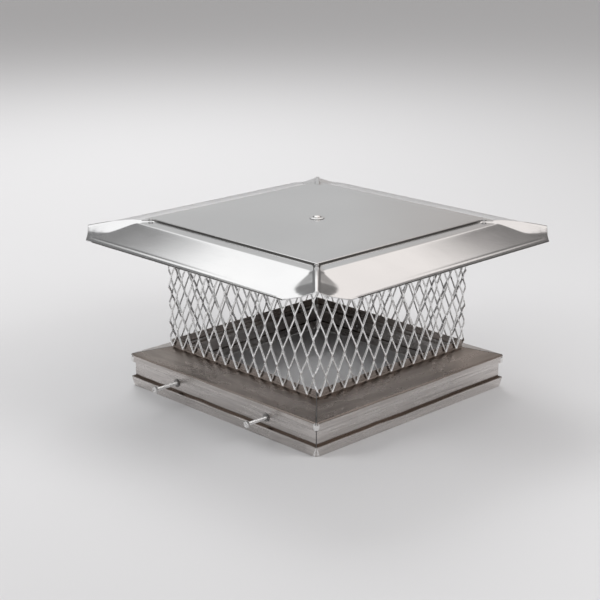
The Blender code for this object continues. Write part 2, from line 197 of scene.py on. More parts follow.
def placed(points, matrix):
    return [matrix @ Vector(p) for p in points]


def raised(points, z):
    return placed(points, Matrix.Translation((0, 0, z)))


def on_wall(along, side, out):
    """The frame of a screw in its wall: its +Z points outwards and its origin is that far out."""
    turn = Matrix.Rotation(-side * math.pi / 2, 4, "X")
    return Matrix.Translation((along, side * (WALL_HALF + out), CLAMP_Z)) @ turn


def unit(vector):
    return vector / np.linalg.norm(vector)


# Distance of the row of points that keeps a flat face flat beside a fold
FOLD_SUPPORT = 0.0003


def fold_round(path, folds):
    """The path with each inner corner turned into an arc of that radius and number of facets."""
    out = [np.array(path[0])]
    for before, at, after, (radius, count) in zip(path, path[1:], path[2:], folds):
        before, at, after = np.array(before), np.array(at), np.array(after)
        a, b = unit(before - at), unit(after - at)
        half = math.acos(float(np.clip(a @ b, -1, 1))) / 2
        reach = radius / math.tan(half)
        middle = at + unit(a + b) * radius / math.sin(half)
        start, end = at + a * reach, at + b * reach
        out.append(start + a * FOLD_SUPPORT)
        for k in range(count + 1):
            p = start + (end - start) * k / count
            out.append(middle + unit(p - middle) * radius)
        out.append(end + b * FOLD_SUPPORT)
    out.append(np.array(path[-1]))
    return out


def offset_path(path, thick):
    """The path moved sideways by the sheet's thickness, to its right-hand side as it is followed."""
    ways = [unit(after - before) for before, after in zip(path, path[1:])]
    moved = []
    for k, p in enumerate(path):
        sides = [np.array([d[1], -d[0]]) for d in ways[max(k - 1, 0):k + 1]]
        mean = sum(sides) / len(sides)
        moved.append(p + mean * thick / float(mean @ mean))
    return moved


# Materials

def add_node(tree, kind, inputs=None, **settings):
    """A node with those settings; its inputs, by name or place, are linked to a socket or set to a value."""
    node = tree.nodes.new(kind)
    for name, value in settings.items():
        setattr(node, name, value)
    for name, value in (inputs or {}).items():
        if isinstance(value, bpy.types.NodeSocket):
            tree.links.new(value, node.inputs[name])
        else:
            node.inputs[name].default_value = value
    return node


def calc(tree, operation, a, b=0.0):
    """The result of that operation on two sockets or numbers."""
    return add_node(tree, "ShaderNodeMath", {0: a, 1: b}, operation=operation).outputs[0]


def noise(tree, where, stretch, scale, detail, rough, distortion=0.0):
    """A noise in the model's own coordinates, drawn out along the axes where stretch is small."""
    mapped = add_node(tree, "ShaderNodeMapping", {"Vector": where, "Scale": stretch})
    return add_node(tree, "ShaderNodeTexNoise", {
        "Vector": mapped.outputs["Vector"], "Scale": scale, "Detail": detail, "Roughness": rough,
        "Distortion": distortion,
    }).outputs["Fac"]


def spread(tree, value, low, high, source=(0.3, 0.7)):
    """The value's source range mapped to low..high."""
    return add_node(tree, "ShaderNodeMapRange", {
        "Value": value, "From Min": source[0], "From Max": source[1], "To Min": low, "To Max": high,
    }).outputs["Result"]


def rgba(color):
    return (*color, 1.0)


def mixed(tree, factor, a, b, blend="MIX"):
    return add_node(tree, "ShaderNodeMix", {"Factor": factor, "A": a, "B": b},
                    data_type="RGBA", blend_type=blend).outputs["Result"]


def ramp(tree, factor, stops):
    """The factor turned into a colour by stops of (place from 0 to 1, colour)."""
    node = add_node(tree, "ShaderNodeValToRGB", {"Fac": factor})
    elements = node.color_ramp.elements
    for _ in range(len(stops) - 2):
        elements.new(0.5)
    for element, (place, color) in zip(elements, stops):
        element.position = place
        element.color = rgba(color)
    return node.outputs["Color"]


BLACK = (0.0, 0.0, 0.0)
WHITE = (1.0, 1.0, 1.0)
NOT_DRAWN_OUT = (1.0, 1.0, 1.0)
# Noises of the steel, as (scale, detail, roughness, distortion); each steel has its own scale for its grain
# and its waves
SMUDGES = (22.0, 5.0, 0.62, 0.4)
CLOUDS = (5.0, 2.0, 0.5)
GRAIN = (4.0, 0.6)
WAVES = (1.5, 0.4)
# Between which of their values clouds, smudges, streaks and worn edges come in, and smudges roughen the steel
CLOUD_RANGE = (0.35, 0.65)
SMUDGE_RANGE = (0.52, 0.72)
STREAK_RANGE = (0.42, 0.66)
WORN_RANGE = (0.52, 0.62)
ROUGH_RANGE = (0.32, 0.70)
# How far the grain changes the roughness, and how much brighter a worn edge is
GRAIN_ROUGHNESS = 0.03
WORN_BRIGHTER = 1.18

# Painted shade turns browner as it darkens: how much faster its green and its blue fall off than its red
SHADE_HUE = (1.13, 1.23)
# The painted shade's edge runs unevenly along the sheet, by up to so much
SHADE_STRETCH = (1.0, 1.0, 0.3)
SHADE_NOISE = (9.0, 3.0, 0.55)
SHADE_UNEVEN = 0.0007


def painted_shade_by_height(tree, where, tone, shade_tones):
    """The tone darkened by height as painted shade, with a little unevenness along the sheet."""
    top = shade_tones[-1][0]
    uneven = noise(tree, where, SHADE_STRETCH, *SHADE_NOISE)
    uneven = spread(tree, uneven, -SHADE_UNEVEN, SHADE_UNEVEN)
    height = add_node(tree, "ShaderNodeSeparateXYZ", {0: where}).outputs["Z"]
    height = spread(tree, calc(tree, "ADD", height, uneven), 0.0, 1.0, (0.0, top))
    green, blue = SHADE_HUE
    stops = [(at / top, (share, share ** green, share ** blue)) for at, share in shade_tones]
    return mixed(tree, 1.0, tone, ramp(tree, height, stops), "MULTIPLY")


def steel(name, pale, dark, roughness, grain_scale, grain_height, grain=NOT_DRAWN_OUT, wave_height=0.0,
          wave_scale=9.0, edge=0.25, smudge=0.35, streak=0.0, shade_tones=()):
    """Stainless sheet: rolling grain drawn out along one way, smudges, faint waves and brighter worn edges.

    Edge is how much the worn edges show, smudge how much the smudges do, and streak how far the grain darkens
    the colour. Shade tones, as (height, share of the colour), paint shade on the sheet by its height on the
    object.
    """
    material = bpy.data.materials.new(name)
    material.use_nodes = True
    tree = material.node_tree
    shader = tree.nodes["Principled BSDF"]
    where = add_node(tree, "ShaderNodeTexCoord").outputs["Object"]

    streaks = noise(tree, where, grain, grain_scale, *GRAIN)
    smudges = noise(tree, where, NOT_DRAWN_OUT, *SMUDGES)
    clouds = noise(tree, where, NOT_DRAWN_OUT, *CLOUDS)

    tone = mixed(tree, spread(tree, clouds, 0.0, 1.0, CLOUD_RANGE), rgba(dark), rgba(pale))
    tone = mixed(tree, spread(tree, smudges, 0.0, smudge, SMUDGE_RANGE), tone, rgba(dark))
    if streak:
        tone = mixed(tree, spread(tree, streaks, 0.0, streak, STREAK_RANGE), tone, rgba(BLACK))
    pointy = add_node(tree, "ShaderNodeNewGeometry").outputs["Pointiness"]
    worn = rgba(min(1.0, c * WORN_BRIGHTER) for c in pale)
    tone = mixed(tree, spread(tree, pointy, 0.0, edge, WORN_RANGE), tone, worn)
    if shade_tones:
        tone = painted_shade_by_height(tree, where, tone, shade_tones)
    tree.links.new(tone, shader.inputs["Base Color"])

    rough = spread(tree, smudges, *roughness, ROUGH_RANGE)
    rough = calc(tree, "ADD", rough, spread(tree, streaks, -GRAIN_ROUGHNESS, GRAIN_ROUGHNESS))
    tree.links.new(rough, shader.inputs["Roughness"])
    shader.inputs["Metallic"].default_value = 1.0

    waves = noise(tree, where, NOT_DRAWN_OUT, wave_scale, *WAVES)
    swell = add_node(tree, "ShaderNodeBump", {"Height": waves, "Distance": wave_height, "Strength": 1.0})
    fine = add_node(tree, "ShaderNodeBump", {
        "Height": streaks, "Distance": grain_height, "Strength": 1.0, "Normal": swell.outputs["Normal"],
    })
    tree.links.new(fine.outputs["Normal"], shader.inputs["Normal"])
    return material


LID_STEEL = steel("lid_steel", (0.80, 0.80, 0.80), (0.75, 0.75, 0.755), (0.11, 0.15), 14.0, 0.00001,
                  grain=(2.0, 60.0, 2.0), wave_height=0.0003, wave_scale=7.0)
# The base gets painted shade in the crease over its skirt and on its slope, there most under the upstand
RAIL_PAINTED_SHADE = ((0.0, 1.0), (0.0112, 1.0), (0.0124, 0.18), (0.0143, 0.16), (0.0157, 0.92), (0.0310, 1.0),
              (0.0408, 0.90), (0.0420, 0.38), (0.0444, 0.54), (0.0490, 0.58), (0.0530, 0.42), (0.0545, 0.34),
              (0.0565, 0.60), (0.0650, 0.58))
RAIL_STEEL = steel("rail_steel", (0.72, 0.685, 0.665), (0.66, 0.625, 0.605), (0.25, 0.31), 10.0, 0.000004,
                   grain=(1.5, 1.5, 40.0), wave_height=0.0003, wave_scale=8.0,
                   edge=0.10, smudge=0.15, streak=0.22, shade_tones=RAIL_PAINTED_SHADE)
# Polished weld steel for the corner beads, also painted on the skirts' corners as a highlight
WELD_STEEL_AND_HIGHLIGHT = steel("weld_steel_and_highlight", (0.92, 0.91, 0.90), (0.80, 0.79, 0.78), (0.18, 0.28), 240.0, 0.00003)
MESH_STEEL = steel("mesh_steel", (0.95, 0.95, 0.945), (0.86, 0.86, 0.855), (0.18, 0.32), 160.0, 0.00006,
                   edge=0.4)
SCREW_STEEL = steel("screw_steel", (0.92, 0.91, 0.90), (0.76, 0.75, 0.74), (0.16, 0.30), 260.0, 0.00003,
                    edge=0.5)
STRAP_STEEL = steel("strap_steel", (0.70, 0.69, 0.68), (0.58, 0.57, 0.56), (0.22, 0.34), 14.0, 0.00003,
                    grain=(2.0, 2.0, 40.0), wave_height=0.0002, wave_scale=20.0)
WASHER_STEEL = steel("washer_steel", (0.82, 0.82, 0.82), (0.72, 0.72, 0.72), (0.22, 0.34), 220.0, 0.00002)
# Painted shade: a dark steel laid on the lid's riser, seam flanks and hem edge, and on the rails' ends
PAINTED_SHADE = steel("painted_shade", (0.17, 0.165, 0.16), (0.12, 0.117, 0.114), (0.30, 0.45), 120.0, 0.00002)
# Steel of the hip rings, also painted on the washer's rim as shade
RING_STEEL_AND_SHADE = steel("ring_steel_and_shade", (0.70, 0.70, 0.70), (0.56, 0.56, 0.56), (0.24, 0.34), 200.0, 0.00002)
NUT_DARK = steel("nut_dark", (0.36, 0.35, 0.34), (0.22, 0.21, 0.205), (0.32, 0.46), 240.0, 0.00003, edge=0.5)


# Lid

# Beside a hip, from the seam outwards: how far from the hip a column stands on the ledge, how far from it at
# the clipped corner, how much the corner bulges there, and how thick its edge is
CORNER_AWAY = (0.0, 0.0026, 0.0090, 0.0150, 0.0210, 0.0300)
CORNER_LATERAL = (0.0, 0.0032, 0.0095, 0.0160, 0.0225, CLIP_CUT)
CORNER_BULGE = (0.0025, 0.0022, 0.0016, 0.0010, 0.0005, 0.0)
CORNER_THICK = (0.0012, 0.0012, 0.0012, 0.0013, 0.0015, HEM_THICK)
COLUMNS_NEAR_HIP = (0.0, 0.0008, 0.0016, 0.0024, 0.0030, 0.0036, 0.0041, 0.0046, 0.0051, 0.0060, 0.0074,
                    0.0094, 0.0116, 0.0138, 0.0160, 0.0182, 0.0204, 0.0226, 0.0250, 0.0275, 0.0300)
COLUMNS_TO_MIDDLE = 16

# The flange is a little hollow between bend and hem, so it starts more steeply
FLANGE_HOLLOW = 0.0004
FLANGE_SLOPE = FLANGE_DROP / (HEM_HALF - LEDGE_HALF)
BEND_SLOPE = FLANGE_SLOPE + 4 * FLANGE_HOLLOW / (HEM_HALF - LEDGE_HALF)
# The bend runs into the flange without a kink when it starts this far inside the ledge's edge
BEND_INSIDE = BEND_OUTSIDE + 2 * BEND_SINK / BEND_SLOPE

# How far out the riser's foot, the bend and the flange start
RISER_N = PANEL_HALF + RISER_LEAN
BEND_START = LEDGE_HALF - BEND_INSIDE
FLANGE_START = LEDGE_HALF + BEND_OUTSIDE

# The seam's rib: its height at the ledge and the tip, half its width, and how near to the hip the swell under
# it stops rising
RIB_AT_LEDGE = 0.0014
RIB_AT_TIP = 0.0012
RIB_HALF = 0.0040
RIB_FLAT = 0.0026

# The sheet beside a seam swells towards it like a pillow: how high and how wide, by the share of the way from
# the ledge's corner to the tip, where -1 is the panel's corner, and how softly the pillow ends
SWELL_SHARE = (-1.0, 0.0, 0.30, 0.55, 0.80, 1.0)
SWELL_HIGH = (0.0003, 0.0020, 0.0034, 0.0042, 0.0041, 0.0038)
SWELL_WIDE = (0.0070, 0.0090, 0.0190, 0.0270, 0.0240, 0.0180)
SWELL_SOFT = 0.2

# Rows of points over the top: on the panel, round its edge, on the ledge, round the bend, down the flange and
# round the hem's edge; and below, under the flange
PANEL_ROWS = (0.009, 0.020, 0.040, 0.062, 0.084, 0.104, 0.122, 0.136, 0.1445, 0.1472)
PANEL_FOLD_STEPS = 4
LEDGE_STEPS = 5
BEND_STEPS = 9
FLANGE_STEPS = 12
EDGE_STEPS = 8
UNDER_STEPS = 6
UNDER_PANEL_HALF = PANEL_HALF - 0.0025
UNDER_FLANGE_SHARE = 0.96

# The panel's edge: its fold's radius, how far in and up the riser's last row stands from its foot, how far
# out the ledge's first row does, and how far in and down the riser's top is on the inside
PANEL_FOLD_R = 0.0007
RISER_FOOT = (0.0001, 0.0004)
RISER_SHADE = 0.0025
RISER_INSIDE = 0.0004

# The hem: its edge's fold, at most that share of the thickness; the gap inside it; the line that its return
# presses through the top; and, as shares of the flange, how far before and after that line a row of points
# stands, and where the last one before the edge does
HEM_FOLD_R = 0.0011
HEM_FOLD_SHARE = 0.45
HEM_GAP = 0.0001
HEM_LINE_DEEP = 0.00005
HEM_LINE_BEFORE = 0.008
HEM_LINE_AFTER = 0.010
HEM_EDGE_AT = 0.982

# Rows of a column's faces painted with shade: the riser and the first of the ledge, the ledge beside a seam's
# flank (apart from the back corner's, which shows no such shade in the photo), and the hem's edge below its
# top, with its return; the first row of each is counted from the rows of points before it
RISER_FIRST = len(PANEL_ROWS) + PANEL_FOLD_STEPS
RISER_ROWS = range(RISER_FIRST, RISER_FIRST + 2)
LEDGE_ROWS = range(RISER_FIRST + 2, RISER_FIRST + 6)
SEAM_FLANK_COLUMNS = (0.0036, 0.0041, 0.0046)
HEM_FIRST = RISER_FIRST + 2 + LEDGE_STEPS + BEND_STEPS + FLANGE_STEPS + 5
HEM_EDGE_ROWS = range(HEM_FIRST + 2, HEM_FIRST + EDGE_STEPS + 1)


def flange_plane(n):
    """The flange's height there, without what its seams raise."""
    share = (n - LEDGE_HALF) / (HEM_HALF - LEDGE_HALF)
    hollow = 4 * FLANGE_HOLLOW * share * (1 - share)
    return LEDGE_Z - BEND_SINK - (n - LEDGE_HALF) * FLANGE_SLOPE - hollow


def rib_height(u, n):
    """How far the seam stands above the sheet at a point of a side."""
    lateral = (n - abs(u)) / math.sqrt(2)
    if lateral >= RIB_HALF:
        return 0.0
    tip = CLIP_REACH / math.sqrt(2)
    share = min(max((n - PANEL_HALF) / (tip - PANEL_HALF), 0.0), 1.0)
    height = RIB_AT_LEDGE + (RIB_AT_TIP - RIB_AT_LEDGE) * share
    return height * (1 - (lateral / RIB_HALF) ** 4)


def swell_height(u, n):
    """How far the sheet itself rises towards a hip."""
    lateral = (n - abs(u)) / math.sqrt(2)
    out = (n + abs(u)) / math.sqrt(2)
    panel, corner = PANEL_HALF * math.sqrt(2), LEDGE_HALF * math.sqrt(2)
    if out > corner:
        share = (out - corner) / (CLIP_REACH - corner)
    else:
        share = (out - corner) / (corner - panel)
    lateral = max(lateral, RIB_FLAT)
    high = float(np.interp(share, SWELL_SHARE, SWELL_HIGH))
    wide = float(np.interp(share, SWELL_SHARE, SWELL_WIDE))
    level = 1 - lateral / wide
    if level > SWELL_SOFT:
        return high * level
    return high * max(level + SWELL_SOFT, 0.0) ** 2 / (4 * SWELL_SOFT)


def with_seam(u, n, z):
    """The plain sheet's height z there, raised by the swell and the rib of its seam."""
    return z + swell_height(u, n) + rib_height(u, n)


def flange_z(u, n):
    return with_seam(u, n, flange_plane(n))


class LidColumn:
    """Points over the lid, out along the top and back along the underside, as (u, n, z).

    The column stands that far away from the hip, or at that share of the way from the last such column to
    the side's middle, from which u counts.
    """

    def __init__(self, away, middle_share):
        if middle_share is not None:
            away = CORNER_AWAY[-1] + (LEDGE_HALF - CORNER_AWAY[-1]) * middle_share
        self.away, self.middle_share = away, middle_share
        self.thick = float(np.interp(away, CORNER_AWAY, CORNER_THICK))
        self.ledge_share = 1 - away / LEDGE_HALF
        self.end_u, self.end_n = self.edge_point(0.0)
        self.hem_share = 1 - HEM_WIDE / (self.end_n - FLANGE_START)
        self.points = []
        self.add_panel()
        self.add_ledge()
        self.add_flange()
        self.add_hem()
        self.add_underside()

    def edge_point(self, inset):
        """Where the column comes that near to the lid's outer edge, as (u, n)."""
        half = HEM_HALF - inset
        if self.middle_share is None:
            reach = CLIP_REACH - inset + float(np.interp(self.away, CORNER_AWAY, CORNER_BULGE))
            lateral = float(np.interp(self.away, CORNER_AWAY, CORNER_LATERAL))
            n = (reach + lateral) / math.sqrt(2)
            if n <= half:
                return (reach - lateral) / math.sqrt(2), n
            return reach * math.sqrt(2) - half, half
        corner = (CLIP_REACH - inset) * math.sqrt(2) - half
        return corner * (1 - self.middle_share), half

    def panel(self, half, down=0.0):
        u = half * self.ledge_share
        crown = (1 - (u / PANEL_HALF) ** 2) * (1 - (half / PANEL_HALF) ** 2)
        self.points.append((u, half, PANEL_Z + PANEL_CROWN * max(crown, 0.0) - down))

    def ledge(self, n, z, down=0.0):
        u = n * self.ledge_share
        self.points.append((u, n, with_seam(u, n, z) - down))

    def flange(self, share, down=0.0):
        start_u = FLANGE_START * self.ledge_share
        u = start_u + (self.end_u - start_u) * share
        n = FLANGE_START + (self.end_n - FLANGE_START) * share
        self.points.append((u, n, flange_z(u, n) - down))

    def add_panel(self):
        """The panel and its rounded edge."""
        for half in PANEL_ROWS:
            self.panel(half)
        for k in range(PANEL_FOLD_STEPS + 1):
            turn = math.pi / 2 * k / PANEL_FOLD_STEPS
            n = PANEL_HALF - PANEL_FOLD_R * (1 - math.sin(turn))
            z = PANEL_Z - PANEL_FOLD_R * (1 - math.cos(turn))
            self.points.append((n * self.ledge_share, n, z))

    def add_ledge(self):
        """The riser's foot, the ledge and the bend."""
        self.ledge(RISER_N - RISER_FOOT[0], LEDGE_Z + RISER_FOOT[1])
        start = RISER_N + RISER_SHADE
        for k in range(LEDGE_STEPS + 1):
            self.ledge(start + (BEND_START - start) * k / LEDGE_STEPS, LEDGE_Z)
        bend_wide = BEND_INSIDE + BEND_OUTSIDE
        for k in range(1, BEND_STEPS):
            s = k / BEND_STEPS
            self.ledge(BEND_START + bend_wide * s, LEDGE_Z - BEND_SLOPE * bend_wide * s * s / 2)

    def add_flange(self):
        """The flange, with the line over the hem's return."""
        for k in range(FLANGE_STEPS):
            self.flange(self.hem_share * (k / FLANGE_STEPS))
        self.flange(self.hem_share - HEM_LINE_BEFORE)
        self.flange(self.hem_share, HEM_LINE_DEEP if self.thick == HEM_THICK else 0.0)
        self.flange(self.hem_share + HEM_LINE_AFTER)
        self.flange((self.hem_share + 1) / 2)
        self.flange(HEM_EDGE_AT)

    def add_hem(self):
        """The hem's rounded edge and its return."""
        middle = flange_z(self.end_u, self.end_n) - self.thick / 2
        fold = min(HEM_FOLD_R, self.thick * HEM_FOLD_SHARE)
        for k in range(EDGE_STEPS + 1):
            turn = math.pi * k / EDGE_STEPS
            u, n = self.edge_point(fold * (1 - math.sin(turn)))
            self.points.append((u, n, middle + self.thick / 2 * math.cos(turn)))
        u, n = self.edge_point(HEM_WIDE)
        self.points.append((u, n, flange_z(u, n) - self.thick))
        self.points.append((u, n, flange_z(u, n) - SHEET - HEM_GAP))

    def add_underside(self):
        """The underside, from the hem to the panel."""
        for k in range(UNDER_STEPS, -1, -1):
            self.flange(self.hem_share * UNDER_FLANGE_SHARE * k / UNDER_STEPS, SHEET)
        self.ledge(BEND_START, LEDGE_Z, SHEET)
        riser = RISER_N - SHEET
        self.ledge(riser, LEDGE_Z, SHEET)
        top_z = PANEL_Z - SHEET - RISER_INSIDE
        self.points.append((riser * self.ledge_share, riser - RISER_INSIDE, top_z))
        for half in reversed(PANEL_ROWS):
            self.panel(min(half, UNDER_PANEL_HALF), SHEET)


def build_lid():
    """One folded sheet: crowned panel, ledge, four hipped flanges with raised seams, and a hemmed lip."""
    half_side = [(away, None) for away in COLUMNS_NEAR_HIP]
    half_side += [(None, k / COLUMNS_TO_MIDDLE) for k in range(1, COLUMNS_TO_MIDDLE + 1)]
    whole_side = [(-1, c) for c in half_side] + [(1, c) for c in half_side[-2:0:-1]]
    columns = []
    for side in SIDES:
        for mirrored, (away, share) in whole_side:
            points = LidColumn(away, share).points
            column = [turned_side(mirrored * u, n, z, side) for u, n, z in points]
            x, y, _ = column[0]
            turn = math.atan2(y, x)
            rim = (BOLT_HOLE_R * math.cos(turn), BOLT_HOLE_R * math.sin(turn))
            column += [(*rim, PANEL_MIDDLE_Z - SHEET), (*rim, PANEL_MIDDLE_Z)]
            columns.append(column)
    across = len(columns[0])
    faces = band_faces(len(columns), across, True, True)
    # Faces painted dark as shade: under the panel's edge, beside the seams and under the hem's edge
    dark = []
    for k in range(len(faces)):
        column, row = divmod(k, across)
        away = whole_side[column % len(whole_side)][1][0]
        x, y, _ = columns[column][row]
        hem_edge = away is None and row in HEM_EDGE_ROWS
        seam_flank = away in SEAM_FLANK_COLUMNS and row in LEDGE_ROWS and not x < 0 < y
        if row in RISER_ROWS or hem_edge or seam_flank:
            dark.append(k)
    mesh_object("lid_sheet", joined(columns), faces, LID_STEEL, ["lid"], sharp=60,
                painted=[(PAINTED_SHADE, dark)])


# The rolled end of a seam, a small ring on the ledge's corner at its side's -u end; the photo shows none at
# the back corner, which is side 3's
RING_R = 0.0026
RING_WIRE = 0.0006
RING_WIRE_SIDES = 12
RING_SIDES = 28
RING_N = PANEL_HALF + 0.0040
RING_Z = LEDGE_Z + 0.0026
RING_CORNERS = SIDES[:3]


def build_hip_rings():
    outline = []
    for k in range(RING_WIRE_SIDES + 1):
        turn = 2 * math.pi * k / RING_WIRE_SIDES
        outline.append((RING_R + RING_WIRE * math.cos(turn), RING_WIRE * math.sin(turn)))
    points, faces = turned(outline, RING_SIDES)
    for side in RING_CORNERS:
        place = Matrix.Translation(turned_side(-RING_N, RING_N, RING_Z, side))
        mesh_object(f"hip_ring_{side}", placed(points, place), faces, RING_STEEL_AND_SHADE)


# Screen

# Strand: width, thickness, the way it runs, and how far its edges lean out and in at its middle and at a bond
STRAND_WIDE = 0.0026
STRAND_THICK = 0.0013
STRAND_WAY = (8.8, 16.93)
STRAND_STEPS = 8
LEAN_MIDDLE = 0.00030
LEAN_BOND = 0.00025
# Its section, as shares of half its width and half its thickness
SECTION = ((1, 0.35), (1, -0.35), (0.72, -1), (-0.72, -1), (-1, -0.35), (-1, 0.35), (-0.72, 1), (0.72, 1))
# Its two stations inside a bond: where from the bond's middle, and half the width there
BOND_MIDDLE = ((0.0, 0.0021), 0.0027)
BOND_SIDE = ((0.00045, 0.0025), 0.0024)
# How far from a fold of the screen its outward way starts to turn
SCREEN_FOLD = 0.0016
# More than rounding takes from a whole number of sides
ROUNDING = 1e-9


def around(s, n):
    """The plan point s round the folded strip from the front-right corner, n outwards from its middle."""
    side_length = 2 * SCREEN_MID
    s %= 4 * side_length
    side = int(math.floor(s / side_length + ROUNDING))
    u = s - side * side_length - SCREEN_MID
    x, y, _ = turned_side(u, SCREEN_MID, 0.0, (side + 1) % 4)
    # Near a fold the outward way turns through the corner
    turn = 0.0
    if u > SCREEN_MID - SCREEN_FOLD:
        turn = math.pi / 4 * (u - SCREEN_MID + SCREEN_FOLD) / SCREEN_FOLD
    elif u < -SCREEN_MID + SCREEN_FOLD:
        turn = -math.pi / 4 * (-SCREEN_MID + SCREEN_FOLD - u) / SCREEN_FOLD
    ox, oy, _ = turned_side(math.sin(turn), math.cos(turn), 0.0, (side + 1) % 4)
    return x + ox * n, y + oy * n


def strand_stations(step):
    """Stations of a strand from the bond at its foot to the one at its head.

    Each is (s, z) of its middle line, the unit vector across it, half its width, and how far towards the
    strand's middle it is, from 0 to 1.
    """
    run = np.array([step, ROW_RISE])
    along = unit(np.array(STRAND_WAY))
    across = np.array([-along[1], along[0]])
    up = np.array([0.0, 1.0])
    stations = [
        (np.array(BOND_MIDDLE[0]), up, BOND_MIDDLE[1], 0.0),
        (np.array(BOND_SIDE[0]), (up + across) / 2, BOND_SIDE[1], 0.0),
    ]
    mirrored = [(run - p, a, h, m) for p, a, h, m in reversed(stations)]
    # The middle line starts between the bond's tip and its side point
    start = np.array([BOND_HALF_WIDE, BOND_HALF_TALL + BOND_SIDE_TALL]) / 2
    end = run - start
    for k in range(STRAND_STEPS + 1):
        share = k / STRAND_STEPS
        stations.append((start + (end - start) * share, across, STRAND_WIDE / 2, math.sin(math.pi * share)))
    return [(p, unit(a), h, m) for p, a, h, m in stations + mirrored]


def build_screen():
    """Expanded metal: seven zigzag strands one above the other, joined where they touch in bonds."""
    step = 2 * SCREEN_MID / DIAMONDS_A_SIDE / 2
    columns = DIAMONDS_A_SIDE * 2 * 4
    rising = strand_stations(step)
    falling = [(np.array([step - p[0], p[1]]), np.array([-a[0], a[1]]), h, m) for p, a, h, m in rising[::-1]]
    points, faces = [], []
    for row in range(HALF_ROWS):
        z0 = SCREEN_ROWS_Z + row * ROW_RISE
        rings = []
        for i in range(columns):
            s0 = FIRST_COLUMN + i * step
            path = rising if (i + row) % 2 == 0 else falling
            for p, across, half, middle in path[:-1]:
                lean = LEAN_BOND + (LEAN_MIDDLE - LEAN_BOND) * middle
                ring = []
                for wide, deep in SECTION:
                    s, up = p + across * half * wide
                    n = -lean * wide + deep * STRAND_THICK / 2
                    z = min(max(z0 + up, SCREEN_FOOT_Z), SCREEN_TOP_Z)
                    ring.append((*around(s0 + s, n), z))
                rings.append(ring)
        faces += moved_faces(band_faces(len(rings), len(SECTION), True, True), len(points))
        points += joined(rings)
    mesh_object("screen_mesh", points, faces, MESH_STEEL, ["mesh_screen"], sharp=50)


# Base rails

# The outside face from the upstand's top to the skirt's foot, as (n, z), and each fold's radius and facets
RAIL_PATH = (
    (0.1363, 0.0640), (0.1363, 0.0540), (0.1753, 0.0434), (0.1753, 0.0323),
    (0.1713, 0.0323), (0.1713, 0.0134), (0.1754, 0.0121), (0.1748, 0.0),
)
RAIL_FOLDS = ((0.0016, 5), (0.0018, 5), (0.0012, 5), (0.0011, 5), (0.0012, 4), (0.0013, 5))
# The lip's outside, the point out and up from which its ends are rounded more, and the skirt's top
LIP_N = 0.1753
LIP_FOOT = (0.1733, 0.0323)
SKIRT_TOP_Z = 0.0121

# How far the ends are rounded, most at the skirt's foot, and in how many steps; the skirt's corner carries a
# painted highlight from the fourth step on
CORNER_R = 0.0009
LIP_CORNER_R = 0.0015
SKIRT_CORNER_R = 0.0060
CORNER_STATIONS = 8
SKIRT_PAINTED_HIGHLIGHT = range(3, 8)


def corner_radius(n, z):
    """How far the rail's end is rounded at a point of its section."""
    if z < SKIRT_TOP_Z:
        return CORNER_R + (SKIRT_CORNER_R - CORNER_R) * (1 - z / SKIRT_TOP_Z)
    if n > LIP_FOOT[0] and z >= LIP_FOOT[1]:
        return LIP_CORNER_R
    return CORNER_R


def rail_columns(outline, side):
    """The rail's section at each station, from the end at -u to the end at +u."""
    turns = [math.pi / 4 * (1 - k / CORNER_STATIONS) for k in range(CORNER_STATIONS + 1)]
    stations = [(-1, turn) for turn in turns] + [(1, turn) for turn in reversed(turns)]
    columns = []
    for end, turn in stations:
        column = []
        for n, z in outline:
            radius = corner_radius(n, z)
            u = n - radius + radius * math.sin(turn)
            out = n - radius + radius * math.cos(turn)
            if turn == turns[0]:
                u -= GAP / 2 * math.sqrt(2)
            column.append(turned_side(end * u, out, z, side))
        columns.append(column)
    return columns


def build_rail(name, side, replaced):
    """A folded rail with mitred ends: painted shade along its seams, and a painted highlight on the skirt's
    corner.
    """
    outer = fold_round(RAIL_PATH, RAIL_FOLDS)
    outline = outer + offset_path(outer, SHEET)[::-1]
    across = len(outline)
    columns = rail_columns(outline, side)
    last = len(columns) - 1
    faces = band_faces(len(columns), across, False, True)
    # Painted shade on the rounded ends above the skirt, and a painted highlight on the skirt's corner
    seam_shade, painted_highlights = [], []
    for k in range(len(faces)):
        column, row = divmod(k, across)
        station = min(column, last - 1 - column)
        skirt = (outline[row][1] + outline[(row + 1) % across][1]) / 2 < SKIRT_TOP_Z
        if skirt and station in SKIRT_PAINTED_HIGHLIGHT:
            painted_highlights.append(k)
        elif station < CORNER_STATIONS and not skirt:
            seam_shade.append(k)
    faces += [tuple(range(across)), tuple(range(last * across, (last + 1) * across))]
    mesh_object(name, joined(columns), faces, RAIL_STEEL, [replaced], sharp=50,
                painted=[(PAINTED_SHADE, seam_shade), (WELD_STEEL_AND_HIGHLIGHT, painted_highlights)])


# The weld that closes each corner of the lip, and how far inside the lip its middle is
BEAD_R = 0.0042
BEAD_HALF_TALL = 0.0062
BEAD_BLUNT = 0.7
BEAD_IN = 0.0030
BEAD_Z = 0.0376
BEAD_DEGREES = range(-75, 90, 15)


def build_corner_beads():
    outline = [(0, -BEAD_HALF_TALL)]
    for degrees in BEAD_DEGREES:
        turn = math.radians(degrees)
        outline.append((BEAD_R * math.cos(turn) ** BEAD_BLUNT, BEAD_HALF_TALL * math.sin(turn)))
    outline.append((0, BEAD_HALF_TALL))
    points, faces = turned(outline, ROUND_SIDES)
    corner = LIP_N - BEAD_IN
    for side in SIDES:
        place = Matrix.Translation(turned_side(corner, corner, BEAD_Z, side))
        mesh_object(f"corner_bead_{side}", placed(points, place), faces, WELD_STEEL_AND_HIGHLIGHT)


# Fasteners

THREAD_PITCH = 0.0008
THREAD_DEPTH = 0.00034
THREAD_ROWS_A_TURN = 5
# How far the thread's first turn is pointed, as a share of its radius
THREAD_POINT = 0.25

